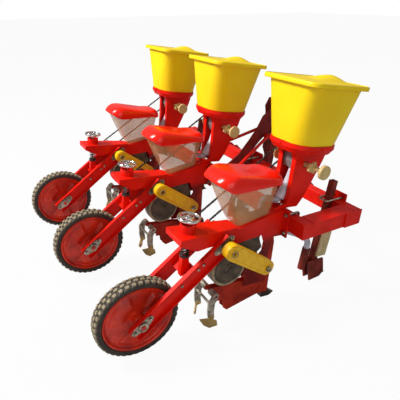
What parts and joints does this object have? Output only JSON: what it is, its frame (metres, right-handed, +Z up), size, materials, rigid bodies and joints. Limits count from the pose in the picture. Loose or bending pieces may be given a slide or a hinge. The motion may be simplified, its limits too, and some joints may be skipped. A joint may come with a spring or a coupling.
{
  "type": "corn planter",
  "caption": "Mounted row-crop planter: press-wheel seed units and fertiliser hoppers clamped to a rectangular tool frame with a three-point hitch.",
  "frame": {"origin": "on the ground under the middle of the whole machine", "axes": "+X forward towards the hitch, +Y to the machine's left across the rows, +Z up"},
  "size_m": [1.3792, 1.5916, 1.0553],
  "materials": {
    "red_paint": "gloss paint on steel",
    "bright_red_plastic": "moulded, glossy",
    "yellow_plastic": "moulded, glossy",
    "clear_plastic": "clear moulded plastic",
    "zinc_steel": "zinc plated",
    "chrome": "chrome plated",
    "black_steel": "blackened steel",
    "dark_housing": "cast, unpainted",
    "grey_plastic": "moulded",
    "white_plastic": "moulded",
    "soft_hose": "clear soft tube",
    "tyre_rubber": "moulded rubber",
    "tan_plastic": "moulded"
  },
  "bodies": {
    "planter_frame": {"rear_beam": "red_paint", "front_beam": "red_paint", "side_beams": "red_paint", "end_caps": "red_paint", "mast_plates": "red_paint", "mast_stays": "red_paint", "hitch_brackets": "red_paint", "unit_bodies": "red_paint", "adjuster_plates": "red_paint", "chain_cases": "yellow_plastic", "seed_meters": "dark_housing", "seed_boxes": "clear_plastic", "hopper_columns": "red_paint", "hoppers": "yellow_plastic", "fertiliser_meters": "grey_plastic", "drop_chutes": "white_plastic", "drop_hoses": "soft_hose", "drive_chains": "black_steel", "openers": "red_paint", "shovel_points": "black_steel", "fertiliser_boots": "red_paint", "shank_straps": "red_paint", "u_bolts": "zinc_steel"},
    "fork_right": {"wheel_fork_right": "red_paint", "fork_bearings_right": "zinc_steel", "adjuster_spring_right": "black_steel"},
    "press_wheel_right": {"wheel_rim_right": "red_paint", "tyre_right": "tyre_rubber"},
    "pivot_drive_right": {"pivot_shaft_right": "zinc_steel"},
    "seed_drive_right": {"seed_shaft_right": "zinc_steel"},
    "feed_drive_right": {"rate_shaft_right": "tan_plastic"},
    "depth_screw_right": {"handwheel_right": "chrome"},
    "seed_cover_right": {"seed_lid_right": "bright_red_plastic"},
    "hopper_cover_right": {"hopper_lid_right": "yellow_plastic"},
    "coverer_arm_right": {"coverer_right": "zinc_steel"},
    "fork_middle": {"wheel_fork_middle": "red_paint", "fork_bearings_middle": "zinc_steel", "adjuster_spring_middle": "black_steel"},
    "press_wheel_middle": {"wheel_rim_middle": "red_paint", "tyre_middle": "tyre_rubber"},
    "pivot_drive_middle": {"pivot_shaft_middle": "zinc_steel"},
    "seed_drive_middle": {"seed_shaft_middle": "zinc_steel"},
    "feed_drive_middle": {"rate_shaft_middle": "tan_plastic"},
    "depth_screw_middle": {"handwheel_middle": "chrome"},
    "seed_cover_middle": {"seed_lid_middle": "bright_red_plastic"},
    "hopper_cover_middle": {"hopper_lid_middle": "yellow_plastic"},
    "coverer_arm_middle": {"coverer_middle": "zinc_steel"},
    "fork_left": {"wheel_fork_left": "red_paint", "fork_bearings_left": "zinc_steel", "adjuster_spring_left": "black_steel"},
    "press_wheel_left": {"wheel_rim_left": "red_paint", "tyre_left": "tyre_rubber"},
    "pivot_drive_left": {"pivot_shaft_left": "zinc_steel"},
    "seed_drive_left": {"seed_shaft_left": "zinc_steel"},
    "feed_drive_left": {"rate_shaft_left": "tan_plastic"},
    "depth_screw_left": {"handwheel_left": "chrome"},
    "seed_cover_left": {"seed_lid_left": "bright_red_plastic"},
    "hopper_cover_left": {"hopper_lid_left": "yellow_plastic"},
    "coverer_arm_left": {"coverer_left": "zinc_steel"}
  },
  "joints": [
    {"name": "fork_tilt_right", "type": "hinge", "parent": "planter_frame", "child": "fork_right", "pos_m": [-0.12667, -0.63425, 0.43502], "axis": [0, 1, 0], "range_deg": [-4, 4]},
    {"name": "wheel_spin_right", "type": "hinge", "parent": "fork_right", "child": "press_wheel_right", "pos_m": [-0.50663, -0.63425, 0.183], "axis": [0, 1, 0], "continuous": true},
    {"name": "pivot_spin_right", "type": "hinge", "parent": "planter_frame", "child": "pivot_drive_right", "pos_m": [-0.12667, -0.63425, 0.43502], "axis": [0, 1, 0], "continuous": true},
    {"name": "seed_spin_right", "type": "hinge", "parent": "planter_frame", "child": "seed_drive_right", "pos_m": [0.05448, -0.63425, 0.29536], "axis": [0, 1, 0], "continuous": true},
    {"name": "feed_spin_right", "type": "hinge", "parent": "planter_frame", "child": "feed_drive_right", "pos_m": [0.31746, -0.63425, 0.6834], "axis": [0, 1, 0], "continuous": true},
    {"name": "depth_turn_right", "type": "hinge", "parent": "planter_frame", "child": "depth_screw_right", "pos_m": [-0.26194, -0.63725, 0.53032], "axis": [0.1495, 0, 0.9888], "range_deg": [-360, 360]},
    {"name": "seed_lid_hinge_right", "type": "hinge", "parent": "planter_frame", "child": "seed_cover_right", "pos_m": [0.19958, -0.59625, 0.63953], "axis": [0, 1, 0], "range_deg": [0, 60]},
    {"name": "hopper_lid_hinge_right", "type": "hinge", "parent": "planter_frame", "child": "hopper_cover_right", "pos_m": [0.53231, -0.60425, 0.98718], "axis": [0, 1, 0], "range_deg": [0, 95]},
    {"name": "coverer_hinge_right", "type": "hinge", "parent": "planter_frame", "child": "coverer_arm_right", "pos_m": [-0.15992, -0.63425, 0.17507], "axis": [0, 1, 0], "range_deg": [0, 30]},
    {"name": "fork_tilt_middle", "type": "hinge", "parent": "planter_frame", "child": "fork_middle", "pos_m": [-0.12667, 0.01575, 0.43502], "axis": [0, 1, 0], "range_deg": [-4, 4]},
    {"name": "wheel_spin_middle", "type": "hinge", "parent": "fork_middle", "child": "press_wheel_middle", "pos_m": [-0.50663, 0.01575, 0.183], "axis": [0, 1, 0], "continuous": true},
    {"name": "pivot_spin_middle", "type": "hinge", "parent": "planter_frame", "child": "pivot_drive_middle", "pos_m": [-0.12667, 0.01575, 0.43502], "axis": [0, 1, 0], "continuous": true},
    {"name": "seed_spin_middle", "type": "hinge", "parent": "planter_frame", "child": "seed_drive_middle", "pos_m": [0.05448, 0.01575, 0.29536], "axis": [0, 1, 0], "continuous": true},
    {"name": "feed_spin_middle", "type": "hinge", "parent": "planter_frame", "child": "feed_drive_middle", "pos_m": [0.31746, 0.01575, 0.6834], "axis": [0, 1, 0], "continuous": true},
    {"name": "depth_turn_middle", "type": "hinge", "parent": "planter_frame", "child": "depth_screw_middle", "pos_m": [-0.26194, 0.01275, 0.53032], "axis": [0.1495, 0, 0.9888], "range_deg": [-360, 360]},
    {"name": "seed_lid_hinge_middle", "type": "hinge", "parent": "planter_frame", "child": "seed_cover_middle", "pos_m": [0.19958, 0.05375, 0.63953], "axis": [0, 1, 0], "range_deg": [0, 60]},
    {"name": "hopper_lid_hinge_middle", "type": "hinge", "parent": "planter_frame", "child": "hopper_cover_middle", "pos_m": [0.53231, 0.04575, 0.98718], "axis": [0, 1, 0], "range_deg": [0, 95]},
    {"name": "coverer_hinge_middle", "type": "hinge", "parent": "planter_frame", "child": "coverer_arm_middle", "pos_m": [-0.15992, 0.01575, 0.17507], "axis": [0, 1, 0], "range_deg": [0, 30]},
    {"name": "fork_tilt_left", "type": "hinge", "parent": "planter_frame", "child": "fork_left", "pos_m": [-0.12667, 0.60075, 0.43502], "axis": [0, 1, 0], "range_deg": [-4, 4]},
    {"name": "wheel_spin_left", "type": "hinge", "parent": "fork_left", "child": "press_wheel_left", "pos_m": [-0.50663, 0.60075, 0.183], "axis": [0, 1, 0], "continuous": true},
    {"name": "pivot_spin_left", "type": "hinge", "parent": "planter_frame", "child": "pivot_drive_left", "pos_m": [-0.12667, 0.60075, 0.43502], "axis": [0, 1, 0], "continuous": true},
    {"name": "seed_spin_left", "type": "hinge", "parent": "planter_frame", "child": "seed_drive_left", "pos_m": [0.05448, 0.60075, 0.29536], "axis": [0, 1, 0], "continuous": true},
    {"name": "feed_spin_left", "type": "hinge", "parent": "planter_frame", "child": "feed_drive_left", "pos_m": [0.31746, 0.60075, 0.6834], "axis": [0, 1, 0], "continuous": true},
    {"name": "depth_turn_left", "type": "hinge", "parent": "planter_frame", "child": "depth_screw_left", "pos_m": [-0.26194, 0.59775, 0.53032], "axis": [0.1495, 0, 0.9888], "range_deg": [-360, 360]},
    {"name": "seed_lid_hinge_left", "type": "hinge", "parent": "planter_frame", "child": "seed_cover_left", "pos_m": [0.19958, 0.63875, 0.63953], "axis": [0, 1, 0], "range_deg": [0, 60]},
    {"name": "hopper_lid_hinge_left", "type": "hinge", "parent": "planter_frame", "child": "hopper_cover_left", "pos_m": [0.53231, 0.63075, 0.98718], "axis": [0, 1, 0], "range_deg": [0, 95]},
    {"name": "coverer_hinge_left", "type": "hinge", "parent": "planter_frame", "child": "coverer_arm_left", "pos_m": [-0.15992, 0.60075, 0.17507], "axis": [0, 1, 0], "range_deg": [0, 30]}
  ],
  "couplings": [
    {"joint": "pivot_spin_right", "follows": "wheel_spin_right", "ratio": 1},
    {"joint": "seed_spin_right", "follows": "wheel_spin_right", "ratio": 1},
    {"joint": "feed_spin_right", "follows": "wheel_spin_right", "ratio": 1},
    {"joint": "pivot_spin_middle", "follows": "wheel_spin_middle", "ratio": 1},
    {"joint": "seed_spin_middle", "follows": "wheel_spin_middle", "ratio": 1},
    {"joint": "feed_spin_middle", "follows": "wheel_spin_middle", "ratio": 1},
    {"joint": "pivot_spin_left", "follows": "wheel_spin_left", "ratio": 1},
    {"joint": "seed_spin_left", "follows": "wheel_spin_left", "ratio": 1},
    {"joint": "feed_spin_left", "follows": "wheel_spin_left", "ratio": 1}
  ]
}
